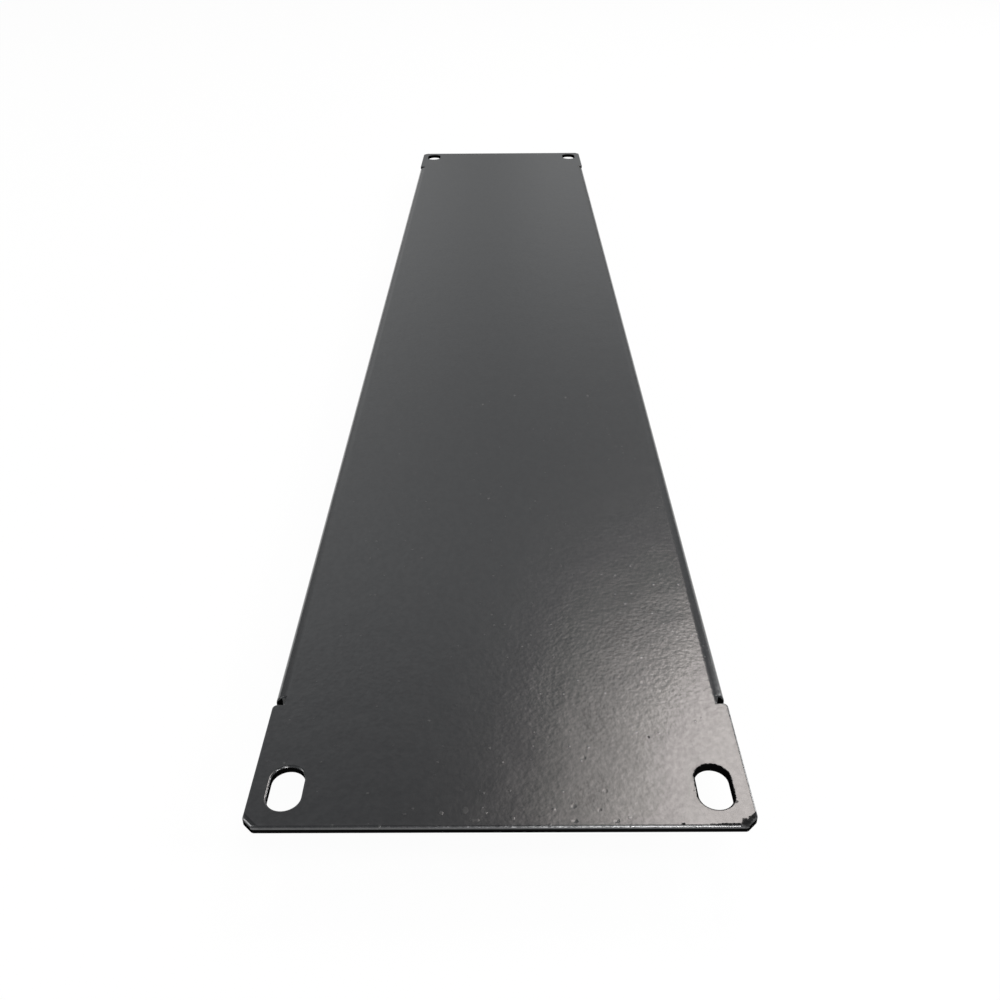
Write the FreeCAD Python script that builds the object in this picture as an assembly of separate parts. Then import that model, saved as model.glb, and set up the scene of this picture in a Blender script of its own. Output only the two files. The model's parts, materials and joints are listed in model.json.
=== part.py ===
import FreeCAD, Part
import math
import os

# Rack blanking panel, two rack units high, folded from one steel sheet.
# The panel lies face up: X runs along its length, Y across its height in the rack,
# and Z out of its front face. The origin is at the middle of the plane that its
# folded lips stand on. All sizes are in millimetres and all angles in degrees.

# Overall size, from the 19 inch rack standard
panel_length = 482.6
rack_unit = 44.45
units_high = 2

# Screw slots, one at each corner, long way along the panel
slot_inset_end = 8.75
slot_inset_side = 6.35
slot_length = 10.15
slot_width = 6.15

# Sheet and folds
sheet_thickness = 1.5
bend_inside_radius = 0.5
lip_depth = 15.0
lip_setback = 0.05

# Flat ears, and the reliefs that free the folds from them
ear_length = 30.0
ear_chamfer = 2.0
relief_width = 2.0
relief_past_bend = 0.05

# Rims of the sheet's outer side, rolled over by the punch and softened by the coat,
# and the corners of the flat face inside those rims
rim_radius = 0.4
chamfer_face_radius = 0.6
ear_inner_face_radius = 0.6

# Worked out from the sizes above
end = panel_length / 2
side = units_high * rack_unit / 2
ear_start = end - ear_length
lip_end = ear_start - relief_width
bend_outside_radius = bend_inside_radius + sheet_thickness
lip_outside = side - lip_setback
bend_line = lip_outside - bend_outside_radius
relief_floor = bend_line - relief_past_bend
front_face = lip_depth
back_face = front_face - sheet_thickness
bend_axis_z = back_face - bend_inside_radius

# How the model picks its edges
same_place = 0.001
sharp_turn = 60


def four_corners(x, y):
    """A place and its mirror images about both middle lines of the panel."""
    return [(sx * x, sy * y) for sx in (-1, 1) for sy in (-1, 1)]


def sheet_blank():
    """The flat part of the sheet: both ears, and the web as far as its bend lines."""
    quarter = [
        (lip_end, bend_line),
        (lip_end, relief_floor),
        (ear_start, relief_floor),
        (ear_start, side),
        (end - ear_chamfer, side),
        (end, side - ear_chamfer),
    ]
    outline = list(quarter)
    outline += [(x, -y) for x, y in reversed(quarter)]
    outline += [(-x, -y) for x, y in quarter]
    outline += [(-x, y) for x, y in reversed(quarter)]
    points = [FreeCAD.Vector(x, y, back_face) for x, y in outline]
    face = Part.Face(Part.makePolygon(points + points[:1]))
    return face.extrude(FreeCAD.Vector(0, 0, sheet_thickness))


def folded_lip(hand):
    """One long edge of the sheet, bent down about its bend line: hand is 1 or -1."""

    def on_section(y, z):
        return FreeCAD.Vector(-lip_end, hand * y, z)

    def on_bend(radius, angle):
        turn = math.radians(angle)
        return on_section(bend_line + radius * math.sin(turn), bend_axis_z + radius * math.cos(turn))

    outer = bend_outside_radius
    inner = bend_inside_radius
    foot_outside = on_section(lip_outside, 0)
    foot_inside = on_section(lip_outside - sheet_thickness, 0)
    section = Part.Wire([
        Part.Arc(on_bend(outer, 0), on_bend(outer, 45), on_bend(outer, 90)).toShape(),
        Part.makeLine(on_bend(outer, 90), foot_outside),
        Part.makeLine(foot_outside, foot_inside),
        Part.makeLine(foot_inside, on_bend(inner, 90)),
        Part.Arc(on_bend(inner, 90), on_bend(inner, 45), on_bend(inner, 0)).toShape(),
        Part.makeLine(on_bend(inner, 0), on_bend(outer, 0)),
    ])
    return Part.Face(section).extrude(FreeCAD.Vector(2 * lip_end, 0, 0))


def screw_slot(x, y):
    """The punch for one round-ended slot, reaching through the sheet at both faces."""
    radius = slot_width / 2
    reach = (slot_length - slot_width) / 2
    start = back_face - sheet_thickness
    outer_end = [FreeCAD.Vector(x + reach, y + s * radius, start) for s in (1, -1)]
    inner_end = [FreeCAD.Vector(x - reach, y - s * radius, start) for s in (1, -1)]
    outer_tip = FreeCAD.Vector(x + reach + radius, y, start)
    inner_tip = FreeCAD.Vector(x - reach - radius, y, start)
    outline = Part.Wire([
        Part.Arc(outer_end[0], outer_tip, outer_end[1]).toShape(),
        Part.makeLine(outer_end[1], inner_end[0]),
        Part.Arc(inner_end[0], inner_tip, inner_end[1]).toShape(),
        Part.makeLine(inner_end[1], outer_end[0]),
    ])
    return Part.Face(outline).extrude(FreeCAD.Vector(0, 0, 3 * sheet_thickness))


def upright_edges(solid, places):
    """The edges that run straight through the sheet at the given places of its outline."""
    chosen = []
    for edge in solid.Edges:
        first = edge.Vertexes[0].Point
        last = edge.Vertexes[-1].Point
        for x, y in places:
            foot = math.hypot(first.x - x, first.y - y)
            head = math.hypot(last.x - x, last.y - y)
            if max(foot, head) < same_place:
                chosen.append(edge)
    return chosen


def depth_in_sheet(point):
    """How far a point lies below the sheet's outer side, following the folds."""
    across = abs(point.y)
    on_ear = abs(point.x) > lip_end + relief_width / 2
    if on_ear or across < bend_line:
        return front_face - point.z
    if point.z > bend_axis_z:
        return bend_outside_radius - math.hypot(across - bend_line, point.z - bend_axis_z)
    return lip_outside - across


def outward_normal(face, point):
    u, v = face.Surface.parameter(point)
    return face.normalAt(u, v)


def outer_rims(solid):
    """The sharp edges round the sheet's outer side and round the mouths of its slots."""
    chosen = []
    for edge in solid.Edges:
        middle = edge.valueAt((edge.FirstParameter + edge.LastParameter) / 2)
        if abs(depth_in_sheet(middle)) > same_place:
            continue
        one, other = solid.ancestorsOfType(edge, Part.Face)
        turn = outward_normal(one, middle).getAngle(outward_normal(other, middle))
        if math.degrees(turn) > sharp_turn:
            chosen.append(edge)
    return chosen


def blanking_panel():
    """The whole folded sheet, from its blank to its softened rims."""
    sheet = sheet_blank().fuse([folded_lip(1), folded_lip(-1)]).removeSplitter()
    slot_places = four_corners(end - slot_inset_end, side - slot_inset_side)
    sheet = sheet.cut([screw_slot(x, y) for x, y in slot_places])

    chamfer_corners = four_corners(end - ear_chamfer, side) + four_corners(end, side - ear_chamfer)
    rounding = rim_radius + chamfer_face_radius
    sheet = sheet.makeFillet(rounding, upright_edges(sheet, chamfer_corners))

    rounding = rim_radius + ear_inner_face_radius
    sheet = sheet.makeFillet(rounding, upright_edges(sheet, four_corners(ear_start, side)))

    return sheet.makeFillet(rim_radius, outer_rims(sheet))


os.makedirs("parts", exist_ok=True)
panel = blanking_panel()
panel.exportStep("parts/blanking_panel.step")
print("blanking_panel:", len(panel.Solids), "solid, valid:", panel.isValid())
print("volume", round(panel.Volume / 1000, 2), "cm3")
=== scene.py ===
# %% [markdown]
# # A rack blanking panel in black powder coat
#
# A blanking panel closes unused height in a 19 inch rack. It is one steel sheet: cut
# out, punched with four slots, folded down along both long edges, and powder-coated
# black. Its shape is finished before this lesson starts, so the lesson is about
# finish and light: how one black surface is made to look like baked powder on cut
# and folded steel, and how it is lit so that it shows its form.

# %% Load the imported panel
import json
import math

import bmesh
import bpy
from mathutils import Matrix, Vector


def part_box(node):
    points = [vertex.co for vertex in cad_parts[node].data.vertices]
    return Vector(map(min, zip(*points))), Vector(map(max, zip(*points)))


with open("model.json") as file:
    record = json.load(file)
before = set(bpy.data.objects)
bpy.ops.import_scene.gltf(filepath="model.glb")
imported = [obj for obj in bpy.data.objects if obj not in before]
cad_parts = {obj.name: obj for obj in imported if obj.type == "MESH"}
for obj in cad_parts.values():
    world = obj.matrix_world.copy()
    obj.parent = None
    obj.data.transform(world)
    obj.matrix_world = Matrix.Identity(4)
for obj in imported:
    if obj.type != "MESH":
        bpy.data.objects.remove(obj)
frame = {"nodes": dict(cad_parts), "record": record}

bpy.context.view_layer.update()
panel = frame["nodes"]["blanking_panel"]
print("panel faces:", len(panel.data.polygons))

# %% [markdown]
# ## Sizes
#
# The sheet lies face up with X along it. The panel is the same in all four
# quarters, so it is enough to know one: half its length, half its height, and where
# its slot and its ear are. The frame gives all of that but the small features of the
# cut, which are written here once.

# %% Sizes of one quarter of the panel
mm = 0.001
lowest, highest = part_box("blanking_panel")
half_length = highest.x
half_height = highest.y
front_face = highest.z

mounts = {mount["name"]: mount for mount in frame["record"]["mounts"]}
slots = mounts["rack_slots"]["dims"]
slot_x = slots["spacing_x_mm"] * mm / 2
slot_y = slots["spacing_y_mm"] * mm / 2
slot_radius = slots["hole_r_mm"] * mm
slot_reach = slots["slot_length_mm"] * mm / 2 - slot_radius

ear_length = 30 * mm
ear_chamfer = 2 * mm
chamfer_angle = math.radians(45)
relief_width = 2 * mm
rim_radius = 0.4 * mm
ear_start = half_length - ear_length
lip_end = ear_start - relief_width
print("half length and height in mm:", round(half_length / mm, 2), round(half_height / mm, 2))
print("slots at", round(slot_x / mm, 2), round(slot_y / mm, 2), "and fold ends at", round(lip_end / mm, 2))

# %% [markdown]
# ## Two helpers
#
# Colours are written as hex values, which are sRGB, the way a screen shows them.
# Shaders work in linear light, so each colour is turned to linear when it is used.
#
# A material is a small network of nodes. The second helper adds one node of any kind:
# it sets the node's options, then fills its sockets. A value goes in as it is, and a
# node or a socket is linked.

# %% Colour and node helpers
def linear(hex_colour):
    """An sRGB hex colour such as #808080 as linear red, green and blue."""
    channels = [int(hex_colour[i:i + 2], 16) / 255 for i in (1, 3, 5)]
    return [c / 12.92 if c <= 0.04045 else ((c + 0.055) / 1.055) ** 2.4 for c in channels]


def add(tree, kind, inputs=None, **options):
    """Adds one node, sets its options, and fills or links its sockets."""
    node = tree.nodes.new("ShaderNode" + kind)
    for name, value in options.items():
        setattr(node, name, value)
    for name, value in (inputs or {}).items():
        if isinstance(value, bpy.types.Node):
            value = value.outputs[0]
        if isinstance(value, bpy.types.NodeSocket):
            tree.links.new(value, node.inputs[name])
        else:
            node.inputs[name].default_value = value
    return node


print("mid grey #808080 is", round(linear("#808080")[0], 3), "in linear light")

# %% [markdown]
# ## Distance to the nearest cut edge
#
# Powder coat changes where the sheet was cut: it creeps back from a sharp edge and
# piles up just inside it, and the cut face itself stays rough and dull. To draw that,
# the material has to know how far each point lies from the nearest cut edge.
#
# That distance could be painted as a vertex colour, but the flat face has no vertices
# away from its edges. Instead it is worked out at each point, from its position: the
# same few sums that a drawing of the panel would give. Taking the absolute value of X
# and Y first folds all four quarters onto one.

# %% Nodes that work out the distance to the nearest cut edge
def cut_edge_distance(tree, along, across):
    """Metres from the nearest cut edge, over the face, and from the slot and the chamfer alone."""
    end = add(tree, "Math", {0: half_length, 1: along}, operation="SUBTRACT")
    side = add(tree, "Math", {0: half_height, 1: across}, operation="SUBTRACT")
    before_ear = add(tree, "Math", {0: ear_start, 1: along}, operation="SUBTRACT")
    ear_side = add(tree, "Math", {0: side, 1: before_ear}, operation="MAXIMUM")

    both = add(tree, "Math", {0: along, 1: across}, operation="ADD")
    chamfer_reach = half_length + half_height - ear_chamfer
    slanted = add(tree, "Math", {0: chamfer_reach, 1: both}, operation="SUBTRACT")
    chamfer = add(tree, "Math", {0: slanted, 1: math.cos(chamfer_angle)}, operation="MULTIPLY")

    from_slot_x = add(tree, "Math", {0: along, 1: slot_x}, operation="SUBTRACT")
    slot_away_x = add(tree, "Math", {0: from_slot_x}, operation="ABSOLUTE")
    past_reach = add(tree, "Math", {0: slot_away_x, 1: slot_reach}, operation="SUBTRACT")
    beyond = add(tree, "Math", {0: past_reach, 1: 0.0}, operation="MAXIMUM")
    from_slot_y = add(tree, "Math", {0: across, 1: slot_y}, operation="SUBTRACT")
    to_slot = add(tree, "CombineXYZ", {"X": beyond, "Y": from_slot_y})
    slot_span = add(tree, "VectorMath", {0: to_slot}, operation="LENGTH").outputs["Value"]
    slot = add(tree, "Math", {0: slot_span, 1: slot_radius}, operation="SUBTRACT")

    outline = add(tree, "Math", {0: end, 1: ear_side}, operation="MINIMUM")
    corner = add(tree, "Math", {0: outline, 1: chamfer}, operation="MINIMUM")
    nearest = add(tree, "Math", {0: corner, 1: slot}, operation="MINIMUM")
    return nearest, slot, chamfer


print("chamfer runs from", round((half_height - ear_chamfer) / mm, 2), "mm to the side")

# %% [markdown]
# ## Cut faces and rolled rims
#
# The edge of the sheet has three parts, one above the other. Its outer rim was rolled
# over a little by the punch, and the coat on it is thin and pulled tight, so it shines
# more than the face and draws a bright line round the ears and slots. Below the rim
# the blade slid and left a smooth land. Below that the steel tore: it is porous and has
# hardly any coat, so it is dull, and it is painted the blackest part of the panel, partly
# as painted shade. The land is only as tall on the two straight ends: in the slots and
# on the sides the tear starts at once.
#
# They are found from the way the surface faces and from how deep it lies. On the flat
# face the normal points straight up, over the rim it turns, and on the cut it is level.
# The folds turn in the same way but aren't cut, so only what lies beyond their ends
# counts. In the notches at the ends of the folds the coat has filled the root.

# %% Nodes that find the cut faces and the rims
rim_starts = 0.985
rim_full = 0.90
cut_level = 0.25
smooth_land = 0.55 * mm
torn_from = 0.70 * mm
filled_root = 43.0 * mm
margin = 0.2 * mm


def cut_and_rim(tree, along, across, height):
    """How much of this point is torn cut face, and how much is rolled rim, each 0 to 1."""
    facing = add(tree, "SeparateXYZ", {0: add(tree, "TexCoord").outputs["Normal"]}).outputs["Z"]
    upright = add(tree, "Math", {0: facing}, operation="ABSOLUTE")
    past_fold = add(tree, "Math", {0: along, 1: lip_end - margin}, operation="GREATER_THAN")
    level = add(tree, "Math", {0: upright, 1: cut_level}, operation="LESS_THAN")
    torn = add(tree, "MapRange", {"Value": height, "From Min": front_face - smooth_land,
                                  "From Max": front_face - torn_from})
    off_end = add(tree, "Math", {0: along, 1: half_length - margin}, operation="LESS_THAN")
    deep = add(tree, "Math", {0: torn, 1: off_end}, operation="MAXIMUM")
    on_ear = add(tree, "Math", {0: along, 1: ear_start + rim_radius}, operation="GREATER_THAN")
    past_root = add(tree, "Math", {0: across, 1: filled_root}, operation="GREATER_THAN")
    open_cut = add(tree, "Math", {0: on_ear, 1: past_root}, operation="MAXIMUM")
    turned = add(tree, "MapRange", {"Value": upright, "From Min": rim_starts, "From Max": rim_full})
    sheared = add(tree, "Math", {0: level, 1: past_fold}, operation="MULTIPLY")
    bare_and_painted_shade = add(tree, "Math", {0: sheared, 1: open_cut}, operation="MULTIPLY")
    # The torn cut found here is painted near black later, partly as painted shade
    cut = add(tree, "Math", {0: bare_and_painted_shade, 1: deep}, operation="MULTIPLY")
    rolled = add(tree, "Math", {0: turned, 1: on_ear}, operation="MULTIPLY")
    rim = add(tree, "Math", {0: rolled, 1: cut}, operation="SUBTRACT")
    return cut, rim


print("land in mm:", round(smooth_land / mm, 2), "high, then torn from", round(torn_from / mm, 2), "down")

# %% [markdown]
# ## Powder coat
#
# Real material: black polyester powder coat on mild steel. The powder is sprayed on
# dry, clings by static, and is baked until it flows together. It never flows quite
# flat, so it keeps ripples about a millimetre apart, called orange peel. They are only
# some hundredths of a millimetre high. You don't see the ripples themselves, only that
# a reflection breaks up where it crosses them. Longer waves come from the sheet itself.
#
# Three more heights follow the shape of the sheet. The coat gathers in a low ridge just
# inside each cut edge, called a fat edge. The sheet bows down a little ahead of each
# fold. And the shears pressed the corners of the ears down before they cut them off.
# None of these is higher than a third of a millimetre, yet each turns the surface far
# enough to mirror something else, so it shows as a soft line.
#
# A bump is enough for heights this low, and it leaves the sheet its exact size. The
# height is built in metres, so every term below can be read as a real height, and the
# terms simply add up.

# %% Heights of the coat's surface
peel_spacing = 0.9 * mm
peel_height = 0.032 * mm
flatter_from = 206 * mm
flatter_to = 226 * mm
flatter_share = 0.58
wave_spacing = 9 * mm
wave_height = 0.07 * mm
fat_edge_height = 0.05 * mm
fat_edge_width = 0.35 * mm
lowest_share = 0.3
lump_spacing = 3 * mm
lump_range = (0.3, 0.7)
bow_starts = 41.7 * mm
bow_ends = 43.3 * mm
bow_height = 0.25 * mm
press_starts = 1.0 * mm
press_ends = 0.1 * mm
press_depth = 0.28 * mm


def ripples(tree, place, spacing, height):
    """Uneven ripples of a given spacing, and of a given height from lowest to highest."""
    noise = add(tree, "TexNoise", {"Vector": place, "Scale": 1 / spacing, "Detail": 1.0, "Roughness": 0.5})
    return add(tree, "Math", {0: noise.outputs[0], 1: height}, operation="MULTIPLY")


def near_peel(tree, place, x):
    """Orange peel, flatter toward the +X end, where a thicker coat flowed out further."""
    share = add(tree, "MapRange", {"Value": x, "From Min": flatter_from, "From Max": flatter_to,
                                   "To Min": 1.0, "To Max": flatter_share})
    full = ripples(tree, place, peel_spacing, peel_height)
    return add(tree, "Math", {0: full, 1: share}, operation="MULTIPLY")


def soft_fold(tree, along, across):
    """The sheet bows down a little ahead of its bend line, so the fold has no crisp start."""
    bowed = add(tree, "MapRange", {"Value": across, "From Min": bow_starts, "From Max": bow_ends,
                                   "To Min": 0.0, "To Max": -bow_height}, interpolation_type="SMOOTHSTEP")
    folded = add(tree, "Math", {0: along, 1: lip_end}, operation="LESS_THAN")
    return add(tree, "Math", {0: bowed, 1: folded}, operation="MULTIPLY")


def soft_corner(tree, chamfer):
    """The shears pressed the ears' corners down a little before they cut them off."""
    return add(tree, "MapRange", {"Value": chamfer, "From Min": press_starts, "From Max": press_ends,
                                  "To Min": 0.0, "To Max": -press_depth}, interpolation_type="SMOOTHSTEP")


def fat_edge(tree, place, edge):
    """The ridge of coat just inside each cut edge, as uneven as it is on real sheet."""
    lumps = add(tree, "TexNoise", {"Vector": place, "Scale": 1 / lump_spacing, "Detail": 2.0})
    low, high = lump_range
    crest = add(tree, "MapRange", {"Value": lumps.outputs[0], "From Min": low, "From Max": high,
                                   "To Min": lowest_share * fat_edge_height, "To Max": fat_edge_height})
    inward = add(tree, "Math", {0: edge, 1: -1 / fat_edge_width}, operation="MULTIPLY")
    fall = add(tree, "Math", {0: inward}, operation="EXPONENT")
    return add(tree, "Math", {0: crest, 1: fall}, operation="MULTIPLY")


print("orange peel slope about", round(peel_height / peel_spacing, 3))

# %% [markdown]
# ## Dust baked into the coat
#
# Dust settles on the panel before it is baked and stays in the coat as small raised
# specks, called nibs. They are scattered with a Voronoi texture: one random point to a
# cell, and only the lucky cells get a nib. The texture is flat, because in space most
# of its points would miss the surface. On the face it runs with X and Y, and Y less Z
# carries it on down the lips.

# %% Nodes that scatter nibs
nib_spacing = 3.6 * mm
nib_radius = 0.40 * mm
nib_height = 0.018 * mm
share_with_nib = 0.40


def nibs(tree, unfolded):
    """Specks of dust baked into the coat: how much of one is here, from 0 to 1."""
    cells = add(tree, "TexVoronoi", {"Vector": unfolded, "Scale": 1 / nib_spacing}, voronoi_dimensions="2D")
    away = add(tree, "Math", {0: cells.outputs["Distance"], 1: nib_spacing}, operation="MULTIPLY")
    luck = add(tree, "SeparateColor", {0: cells.outputs["Color"]}).outputs["Red"]
    size = add(tree, "MapRange", {"Value": luck, "From Min": 1 - share_with_nib, "From Max": 1.0,
                                  "To Min": 0.0, "To Max": nib_radius})
    inside = add(tree, "Math", {0: size, 1: away}, operation="SUBTRACT")
    return add(tree, "MapRange", {"Value": inside, "From Max": nib_radius}, interpolation_type="SMOOTHSTEP")


print("nibs per square centimetre:", round(share_with_nib * (10 * mm / nib_spacing) ** 2, 1))

# %% [markdown]
# ## Placed marks
#
# The coat is darkened to near black at one near corner and along the edge next to it.
# Paler specks stand out near the end and a third of the way along, and a few craters
# are left where gas broke out through the coat in the oven.
#
# These aren't scattered but placed, because a viewer who knows the panel looks for
# them. Each mark is an ellipse on the face: where its middle is, and how far it reaches
# along and across. A little noise in that reach keeps its outline from being smooth. A
# dark mark or a speck is full nearly out to its outline. A crater is a cone, and slopes
# all the way in.

# %% Nodes for the placed marks
# X, Y, reach along and reach across in mm, and strength from 0 to 1
dark_marks = [
    (240.7, 42.2, 0.9, 0.8, 0.8), (240.1, 43.0, 0.8, 0.4, 0.7), (239.4, 43.6, 0.5, 0.3, 0.8),
    (240.9, 39.4, 0.22, 2.9, 0.8), (240.8, 31.4, 0.25, 0.3, 0.8), (236.0, 41.3, 0.28, 0.5, 0.4),
    (220.5, 28.0, 0.3, 0.25, 0.5),
]
pale_specks = [
    (238.3, -10.1, 0.35, 0.35, 0.8), (238.3, -2.4, 0.22, 0.22, 0.9), (237.7, -6.0, 0.7, 0.5, 0.35),
    (238.5, -16.5, 0.2, 0.35, 0.5), (239.5, 2.3, 0.3, 0.35, 0.5), (239.9, -4.2, 0.3, 0.7, 0.5),
    (239.5, 22.4, 0.25, 0.3, 0.6), (216.3, 37.3, 0.25, 0.2, 0.8), (75.0, 4.3, 0.6, 0.35, 1.0),
    (76.6, 20.0, 0.6, 0.35, 1.0), (75.3, 26.9, 0.6, 0.35, 1.0), (81.1, -5.5, 0.5, 0.3, 1.0),
    (135.4, -3.1, 0.4, 0.3, 1.0),
]
craters = [
    (240.15, 12.9, 0.42, 0.50, 1.0), (240.15, 20.1, 0.42, 0.50, 1.0), (236.9, 12.9, 0.42, 0.46, 1.0),
    (237.8, 17.3, 0.30, 0.32, 0.6), (225.7, 15.4, 0.45, 0.42, 0.6), (233.5, 18.7, 0.40, 0.40, 0.6),
]
crater_depth = 0.04 * mm
flat_share = 0.75
cone_share = 0.0
mark_ends = 1.25
mark_lumps = 0.5 * mm
raggedness = 1.6
noise_middle = 0.5
mark_depth = 0.8 * mm


def ragged_noise(tree, place):
    """Noise around nought that makes the outline of a mark uneven."""
    lumps = add(tree, "TexNoise", {"Vector": place, "Scale": 1 / mark_lumps, "Detail": 2.0})
    wander = add(tree, "Math", {0: lumps.outputs[0], 1: noise_middle}, operation="SUBTRACT")
    return add(tree, "Math", {0: wander, 1: raggedness}, operation="MULTIPLY")


def marks(tree, place, ragged, spots, full_within):
    """How much of one of the placed marks is here: full within a share of its reach, then less."""
    found = 0.0
    for x, y, along, across, strength in spots:
        middle = (x * mm, y * mm, front_face)
        from_middle = add(tree, "VectorMath", {0: place, 1: middle}, operation="SUBTRACT")
        sizes = (along * mm, across * mm, mark_depth)
        in_sizes = add(tree, "VectorMath", {0: from_middle, 1: sizes}, operation="DIVIDE")
        away = add(tree, "VectorMath", {0: in_sizes}, operation="LENGTH").outputs["Value"]
        reach = add(tree, "Math", {0: away, 1: ragged}, operation="ADD")
        here = add(tree, "MapRange", {"Value": reach, "From Min": mark_ends, "From Max": full_within,
                                      "To Max": strength})
        found = add(tree, "Math", {0: here, 1: found}, operation="MAXIMUM")
    return found


print("placed marks:", len(dark_marks), "chips,", len(pale_specks), "specks and", len(craters), "craters")

# %% [markdown]
# ## Shaded slot rims
#
# The rims of three slots are painted dark as painted shade, so each has a dark, uneven
# outline instead of a bright one, a little wider at the far end. The fourth slot, near
# left, keeps its bright rim.

# %% Nodes that paint shade on three slot rims
shade_rim_near = 0.32 * mm
shade_rim_far = 0.4 * mm
shade_rim_within = 0.7
shade_rim_ends = 1.3


def shaded_slot_rims(tree, place, ragged, slot):
    """How much painted shade darkens the rims of the slots, from 0 to 1."""
    where = add(tree, "SeparateXYZ", {0: place})
    width = add(tree, "MapRange", {"Value": where.outputs["X"], "From Min": -slot_x, "From Max": slot_x,
                                   "To Min": shade_rim_far, "To Max": shade_rim_near})
    share = add(tree, "Math", {0: slot, 1: width}, operation="DIVIDE")
    reach = add(tree, "Math", {0: share, 1: ragged}, operation="ADD")
    shaded_band = add(tree, "MapRange", {"Value": reach, "From Min": shade_rim_ends, "From Max": shade_rim_within})
    near = add(tree, "Math", {0: where.outputs["X"], 1: 0.0}, operation="GREATER_THAN")
    left = add(tree, "Math", {0: where.outputs["Y"], 1: 0.0}, operation="LESS_THAN")
    spared = add(tree, "Math", {0: near, 1: left}, operation="MULTIPLY")
    darkened = add(tree, "Math", {0: 1.0, 1: spared}, operation="SUBTRACT")
    return add(tree, "Math", {0: shaded_band, 1: darkened}, operation="MULTIPLY")


print("worn width in mm:", round(shade_rim_near / mm, 2), "near to", round(shade_rim_far / mm, 2), "far")

# %% [markdown]
# ## The finish itself
#
# Baked polyester is black pigment under a skin of clear plastic. Its index of refraction
# is about 1.5: it mirrors 4 percent of the light straight on, and far more at the low
# angle from which a long panel is seen. Semi-gloss powder has a roughness of 0.2 to 0.3.
# The soft border of the sheen on the near right of the face gave 0.21.
#
# The shine isn't quite even. It drifts by some percent, in patches about as wide as the
# ripples. The rims shine about twice as much, because steel helps where the coat is
# thin. Torn steel has no skin: it is dull, and its near black is partly painted shade.
# The dark marks and the slot rims painted dark as shade are just as dull and nearly black.

# %% The powder coat material
coat_black = "#1c1d1f"
# Near black of the torn cuts, partly painted shade; also used for the painted shade on three slot rims and
# for the dark marks
cut_and_painted_shade_black = "#060606"
dust_grey = "#3c3c3c"
plastic_ior = 1.5
coat_roughness = 0.21
cut_roughness = 0.7
rim_roughness = 0.22
rim_shine = 1.0
face_shine = 0.5
gloss_spread = 0.075
patch_spacing = 1.1 * mm
patch_range = (0.35, 0.65)
colour_a, colour_b, mixed_colour = 6, 7, 2  # the sockets of a Mix node that carry colour


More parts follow.
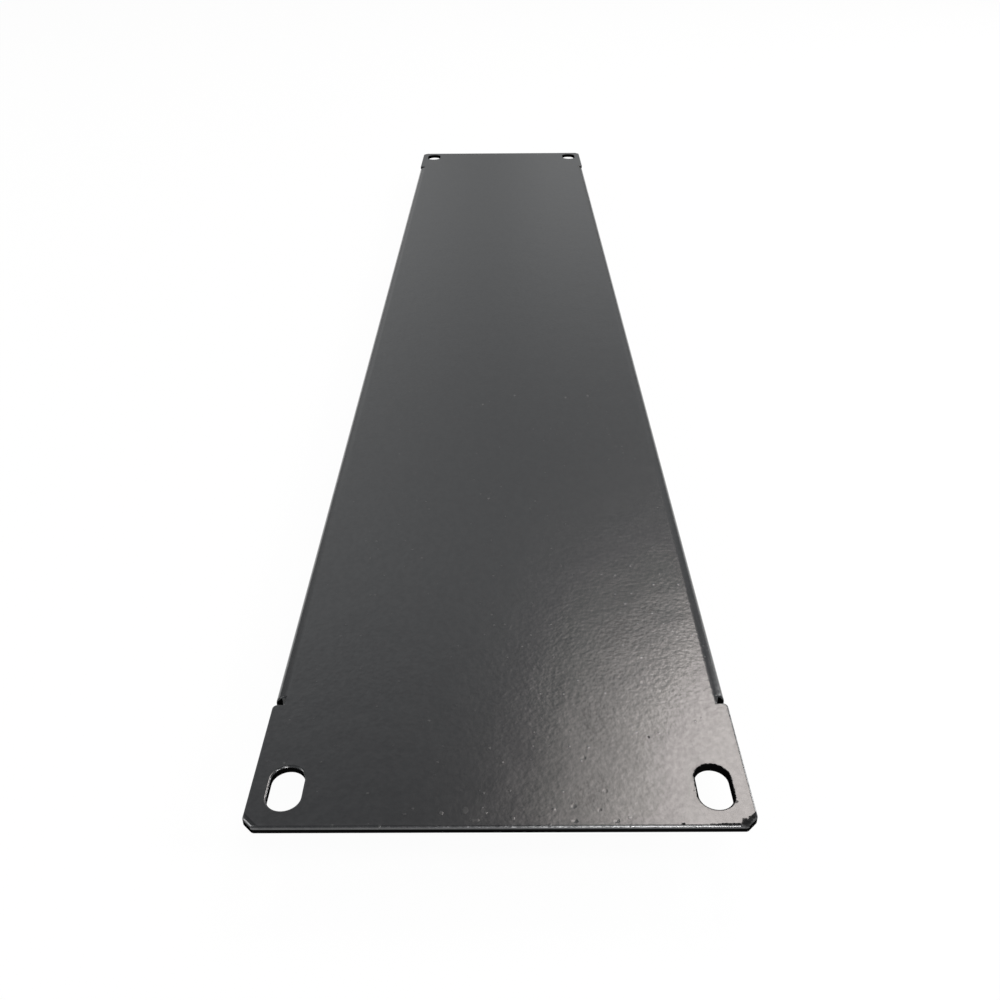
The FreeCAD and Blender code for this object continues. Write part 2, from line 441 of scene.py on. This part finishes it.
def powder_coat():
    """Black polyester powder coat: semi-gloss on the faces, dull on the cuts, and painted darker as shade on
    the cuts and three slot rims.
    """
    material = bpy.data.materials.new("black_polyester_powder_coat")
    material.use_nodes = True
    tree = material.node_tree
    tree.nodes.clear()

    place = add(tree, "TexCoord").outputs["Object"]
    quarter = add(tree, "SeparateXYZ", {0: add(tree, "VectorMath", {0: place}, operation="ABSOLUTE")})
    along, across = quarter.outputs["X"], quarter.outputs["Y"]
    whole = add(tree, "SeparateXYZ", {0: place})
    over_fold = add(tree, "Math", {0: whole.outputs["Y"], 1: whole.outputs["Z"]}, operation="SUBTRACT")
    unfolded = add(tree, "CombineXYZ", {"X": whole.outputs["X"], "Y": over_fold})

    edge, slot, chamfer = cut_edge_distance(tree, along, across)
    cut, rim = cut_and_rim(tree, along, across, whole.outputs["Z"])
    ragged = ragged_noise(tree, place)
    dark_marked = marks(tree, place, ragged, dark_marks, flat_share)
    # Painted shade on three slot rims joins the dark marks
    darkened = add(tree, "Math", {0: dark_marked, 1: shaded_slot_rims(tree, place, ragged, slot)}, operation="MAXIMUM")
    # Torn cuts, dark marks and slot rims with painted shade: all dull and near black
    bare_and_painted_shade = add(tree, "Math", {0: cut, 1: darkened}, operation="MAXIMUM")
    pale = marks(tree, place, ragged, pale_specks, flat_share)
    specks = add(tree, "Math", {0: nibs(tree, unfolded), 1: pale}, operation="MAXIMUM")

    peel = near_peel(tree, place, whole.outputs["X"])
    waves = ripples(tree, place, wave_spacing, wave_height)
    nib_bump = add(tree, "Math", {0: specks, 1: nib_height}, operation="MULTIPLY")
    pitted = marks(tree, place, ragged, craters, cone_share)
    pits = add(tree, "Math", {0: pitted, 1: crater_depth}, operation="MULTIPLY")
    coat = add(tree, "Math", {0: peel, 1: waves}, operation="ADD")
    edged = add(tree, "Math", {0: coat, 1: fat_edge(tree, place, edge)}, operation="ADD")
    bowed = add(tree, "Math", {0: edged, 1: soft_fold(tree, along, across)}, operation="ADD")
    pressed = add(tree, "Math", {0: bowed, 1: soft_corner(tree, chamfer)}, operation="ADD")
    speckled_height = add(tree, "Math", {0: pressed, 1: nib_bump}, operation="ADD")
    height = add(tree, "Math", {0: speckled_height, 1: pits}, operation="SUBTRACT")
    bump = add(tree, "Bump", {"Height": height, "Strength": 1.0, "Distance": 1.0})

    patches = add(tree, "TexNoise", {"Vector": place, "Scale": 1 / patch_spacing, "Detail": 1.0})
    speckled = add(tree, "Mix", {"Factor": specks, colour_a: [*linear(coat_black), 1],
                                 colour_b: [*linear(dust_grey), 1]}, data_type="RGBA")
    # Painted shade: the torn cuts and three slot rims take the near-black colour here
    colour = add(tree, "Mix", {"Factor": bare_and_painted_shade, colour_a: speckled.outputs[mixed_colour],
                               colour_b: [*linear(cut_and_painted_shade_black), 1]}, data_type="RGBA")
    softer = add(tree, "MapRange", {"Value": rim, "To Min": coat_roughness, "To Max": rim_roughness})
    roughness = add(tree, "MapRange", {"Value": bare_and_painted_shade, "To Min": softer, "To Max": cut_roughness})
    low, high = patch_range
    gloss = add(tree, "MapRange", {"Value": patches, "From Min": low, "From Max": high,
                                   "To Min": 1 - gloss_spread, "To Max": 1 + gloss_spread})
    level = add(tree, "MapRange", {"Value": rim, "To Min": face_shine, "To Max": rim_shine})
    shine = add(tree, "Math", {0: level, 1: gloss}, operation="MULTIPLY")
    dulled = add(tree, "MapRange", {"Value": bare_and_painted_shade, "To Min": 1.0, "To Max": 0.0})
    specular = add(tree, "Math", {0: shine, 1: dulled}, operation="MULTIPLY")
    face = add(tree, "BsdfPrincipled", {"Base Color": colour.outputs[mixed_colour], "Roughness": roughness,
                                        "IOR": plastic_ior, "Specular IOR Level": specular, "Normal": bump})
    add(tree, "OutputMaterial", {"Surface": face})
    return material


panel.material_slots[0].material = powder_coat()
print("coat nodes:", len(panel.material_slots[0].material.node_tree.nodes))

# %% [markdown]
# ## Floor
#
# The panel lies on a large pale floor. Most of its white is a steady glow that only the
# camera and mirror-like rays see, so it stays white without more light on the panel.
# The rest is a matt white paint, which takes the panel's soft shadow.

# %% Floor
floor_half = 6.0
floor_white = "#f4f4f4"
floor_lift = 0.96


def pale_floor():
    """A matt white floor, lifted to white for the camera and for reflections."""
    material = bpy.data.materials.new("pale_studio_floor")
    material.use_nodes = True
    tree = material.node_tree
    tree.nodes.clear()
    path = add(tree, "LightPath")
    seen = add(tree, "Math", {0: path.outputs["Is Camera Ray"], 1: path.outputs["Is Glossy Ray"]},
               operation="MAXIMUM")
    shown = add(tree, "Math", {0: seen, 1: path.outputs["Is Transmission Ray"]}, operation="MAXIMUM")
    share = add(tree, "Math", {0: shown, 1: floor_lift}, operation="MULTIPLY")
    matt = add(tree, "BsdfDiffuse", {"Color": [*linear(floor_white), 1]})
    white = add(tree, "Emission", {"Color": [1, 1, 1, 1], "Strength": 1.0})
    add(tree, "OutputMaterial", {"Surface": add(tree, "MixShader", {0: share, 1: matt, 2: white})})
    return material


def add_object(name, shape, material):
    """Makes a mesh object from a bmesh, with one material."""
    mesh = bpy.data.meshes.new(name)
    shape.to_mesh(mesh)
    shape.free()
    mesh.materials.append(material)
    made = bpy.data.objects.new(name, mesh)
    bpy.context.scene.collection.objects.link(made)
    return made


sheet = bmesh.new()
bmesh.ops.create_grid(sheet, x_segments=1, y_segments=1, size=floor_half,
                      matrix=Matrix.Translation((0, 0, lowest.z)))
floor = add_object("floor", sheet, pale_floor())
print("floor side in metres:", 2 * floor_half)

# %% [markdown]
# ## Studio walls
#
# A semi-gloss black shows little colour of its own: what the eye reads on it is the
# room. The flat face, seen low along its length, mirrors the wall beyond the far end,
# and the grey that it shows runs from the foot of that wall to the ceiling.
#
# The room is a dome with a grey that changes with height: dark at the foot of the wall,
# then an even mid grey, then a brighter band below a dim ceiling. Each place on the face
# mirrors one height of the wall, so how bright the face is there tells how bright the
# room was. The six greys are round numbers chosen to agree with that.
#
# The wall is a little brighter left of the far end, and low down on the right of it. It
# is dimmer to both sides, which keeps the folds dark. The camera doesn't see the dome:
# past it is the world, which is plain white.

# %% Walls and world
dome_radius = 20.0
# degrees above the horizon, and the grey there
wall_greys = [
    (0, 0.0),    # foot of the wall
    (16, 0.5),   # the even wall starts
    (28, 0.55),  # the even wall ends
    (38, 0.85),  # bright band
    (54, 0.2),   # edge of the ceiling
    (90, 0.2),   # ceiling overhead
]
wall_tint = (0.98, 1.0, 1.01)
left_gain = 1.3
left_most = 0.26
right_gain = 2.5
right_least = -0.044
right_most = 0.11
right_top = 30
right_full = 16
side_starts = 28
side_full = 50
side_share = 0.45


def studio_walls():
    """The light of the walls: a grey for each height, then more or less of it to each side."""
    material = bpy.data.materials.new("studio_walls")
    material.use_nodes = True
    tree = material.node_tree
    tree.nodes.clear()
    place = add(tree, "TexCoord").outputs["Object"]
    toward = add(tree, "SeparateXYZ", {0: add(tree, "VectorMath", {0: place}, operation="NORMALIZE")})
    ramp = add(tree, "ValToRGB", {0: toward.outputs["Z"]})
    stops = ramp.color_ramp.elements
    while len(stops) < len(wall_greys):
        stops.new(0.5)
    for stop, (degrees, grey) in zip(stops, wall_greys):
        stop.position = math.sin(math.radians(degrees))
        stop.color = [*(grey * tint for tint in wall_tint), 1]
    leftward = add(tree, "Math", {0: toward.outputs["Y"], 1: -left_gain}, operation="MULTIPLY")
    more = add(tree, "Clamp", {"Value": leftward, "Min": 0.0, "Max": left_most})
    rightward = add(tree, "Math", {0: toward.outputs["Y"], 1: right_gain}, operation="MULTIPLY")
    and_right = add(tree, "Clamp", {"Value": rightward, "Min": right_least, "Max": right_most})
    low = add(tree, "MapRange", {"Value": toward.outputs["Z"], "From Min": math.sin(math.radians(right_top)),
                                 "From Max": math.sin(math.radians(right_full))})
    low_right = add(tree, "Math", {0: and_right, 1: low}, operation="MULTIPLY")
    extra = add(tree, "Math", {0: more, 1: low_right}, operation="ADD")
    lit = add(tree, "VectorMath", {0: ramp, 1: extra}, operation="ADD")
    sideways = add(tree, "Math", {0: toward.outputs["Y"]}, operation="ABSOLUTE")
    away = add(tree, "Math", {0: toward.outputs["X"], 1: -1.0}, operation="MULTIPLY")
    turned = add(tree, "Math", {0: sideways, 1: away}, operation="ARCTAN2")
    share = add(tree, "MapRange", {"Value": turned, "From Min": math.radians(side_starts),
                                   "From Max": math.radians(side_full), "To Min": 1.0, "To Max": side_share})
    add(tree, "OutputMaterial", {"Surface": add(tree, "Emission", {"Color": lit, "Strength": share})})
    material.cycles.emission_sampling = "NONE"
    return material


shell = bmesh.new()
bmesh.ops.create_icosphere(shell, subdivisions=4, radius=dome_radius)
walls = add_object("studio_walls", shell, studio_walls())
walls.visible_camera = False

world = bpy.data.worlds.new("white_backdrop")
bpy.context.scene.world = world
world.use_nodes = True
world.node_tree.nodes.clear()
add(world.node_tree, "OutputWorld",
    {"Surface": add(world.node_tree, "Background", {"Color": [1, 1, 1, 1], "Strength": 1.0})})
print("wall greys from", wall_greys[0][1], "at the floor to", max(grey for _, grey in wall_greys))

# %% [markdown]
# ## Softboxes
#
# A softbox is a rectangle of light. Each one here has a job, and stands where the part
# that it lights mirrors it. Two stand high beyond the far end, a bright one and a dim
# one beside it, and their warm white makes the sheen on the near right of the face. Their
# places and sizes were worked out from where the sheen begins and ends, then trimmed.
#
# The other five only draw lines, because a rim is so round that it mirrors each of them
# as a thread. A low one beyond the far end and one on the right light the rim of the
# near left slot. One behind the camera and a small one above it light the near rim, and
# the dim one on the left picks out the cut corner there.

# %% Softboxes
near_end = Vector((half_length, 0, front_face))
lamp_distance = 1.5
warm_white = "#fff7f3"
pure_white = "#ffffff"
# name, azimuth, elevation, width and height in degrees, radiance, colour
softboxes = [
    ("softbox_far_right", 156.7, 48.3, 14.4, 22.2, 8.2, warm_white),
    ("softbox_far_middle", 164.7, 50.5, 14.8, 23.5, 3.5, warm_white),
    ("softbox_far_low", 130, 15, 6, 18, 16, pure_white),
    ("softbox_camera_right", 10, 12, 9, 26, 30, pure_white),
    ("softbox_above_right", 20, 62, 12, 14, 12, pure_white),
    ("softbox_right", 68, 38, 14, 14, 22, pure_white),
    ("softbox_left", -90, 29, 12, 22, 6, pure_white),
]


def softbox(name, azimuth, elevation, wide, high, radiance, colour):
    """A rectangle of light turned to the panel's near end, its size given in degrees."""
    a, e = math.radians(azimuth), math.radians(elevation)
    out = Vector((math.cos(a) * math.cos(e), math.sin(a) * math.cos(e), math.sin(e)))
    light = bpy.data.lights.new(name, "AREA")
    light.shape = "RECTANGLE"
    light.size = 2 * lamp_distance * math.tan(math.radians(wide / 2))
    light.size_y = 2 * lamp_distance * math.tan(math.radians(high / 2))
    light.energy = radiance * math.pi * light.size * light.size_y
    light.color = linear(colour)
    lamp = bpy.data.objects.new(name, light)
    lamp.location = near_end + out * lamp_distance
    lamp.rotation_euler = out.to_track_quat("Z", "Y").to_euler()
    lamp.visible_camera = False
    bpy.context.scene.collection.objects.link(lamp)
    print(name, round(light.energy, 1), "W")


for numbers in softboxes:
    softbox(*numbers)

# %% [markdown]
# ## Camera
#
# The panel is photographed along its length, from low down and close to its +X end, so
# the near ear is large and the far one small.

# %% Camera
focal_px = 1009.0
image_px = 1000
sensor_width = 36
cam_behind_end = 116.3374 * mm
cam_right = 1.1753 * mm
cam_above_face = 138.1404 * mm
cam_pitch = 31.9567
cam_yaw = -0.3334
cam_roll = 0.4475

camera = bpy.data.objects.new("camera", bpy.data.cameras.new("camera"))
bpy.context.scene.collection.objects.link(camera)
bpy.context.scene.camera = camera
camera.data.sensor_width = sensor_width
camera.data.lens = focal_px / image_px * sensor_width
camera.data.clip_start = 0.01
camera.data.clip_end = 50
turn = Matrix.Rotation(math.radians(90 - cam_yaw), 4, "Z")
tilt = Matrix.Rotation(math.radians(90 - cam_pitch), 4, "X")
roll = Matrix.Rotation(math.radians(-cam_roll), 4, "Z")
camera.matrix_world = turn @ tilt @ roll
camera.location = (half_length + cam_behind_end, cam_right, front_face + cam_above_face)
print("lens in mm:", round(camera.data.lens, 2))

# %% [markdown]
# ## Colour
#
# The view transform is set to Standard, so that a colour reaches the picture as it was
# written. The coat is all material and bump, so it leaves the panel's size as it was.

bpy.context.scene.view_settings.view_transform = "Standard"
print("view transform:", bpy.context.scene.view_settings.view_transform)
bpy.context.view_layer.update()
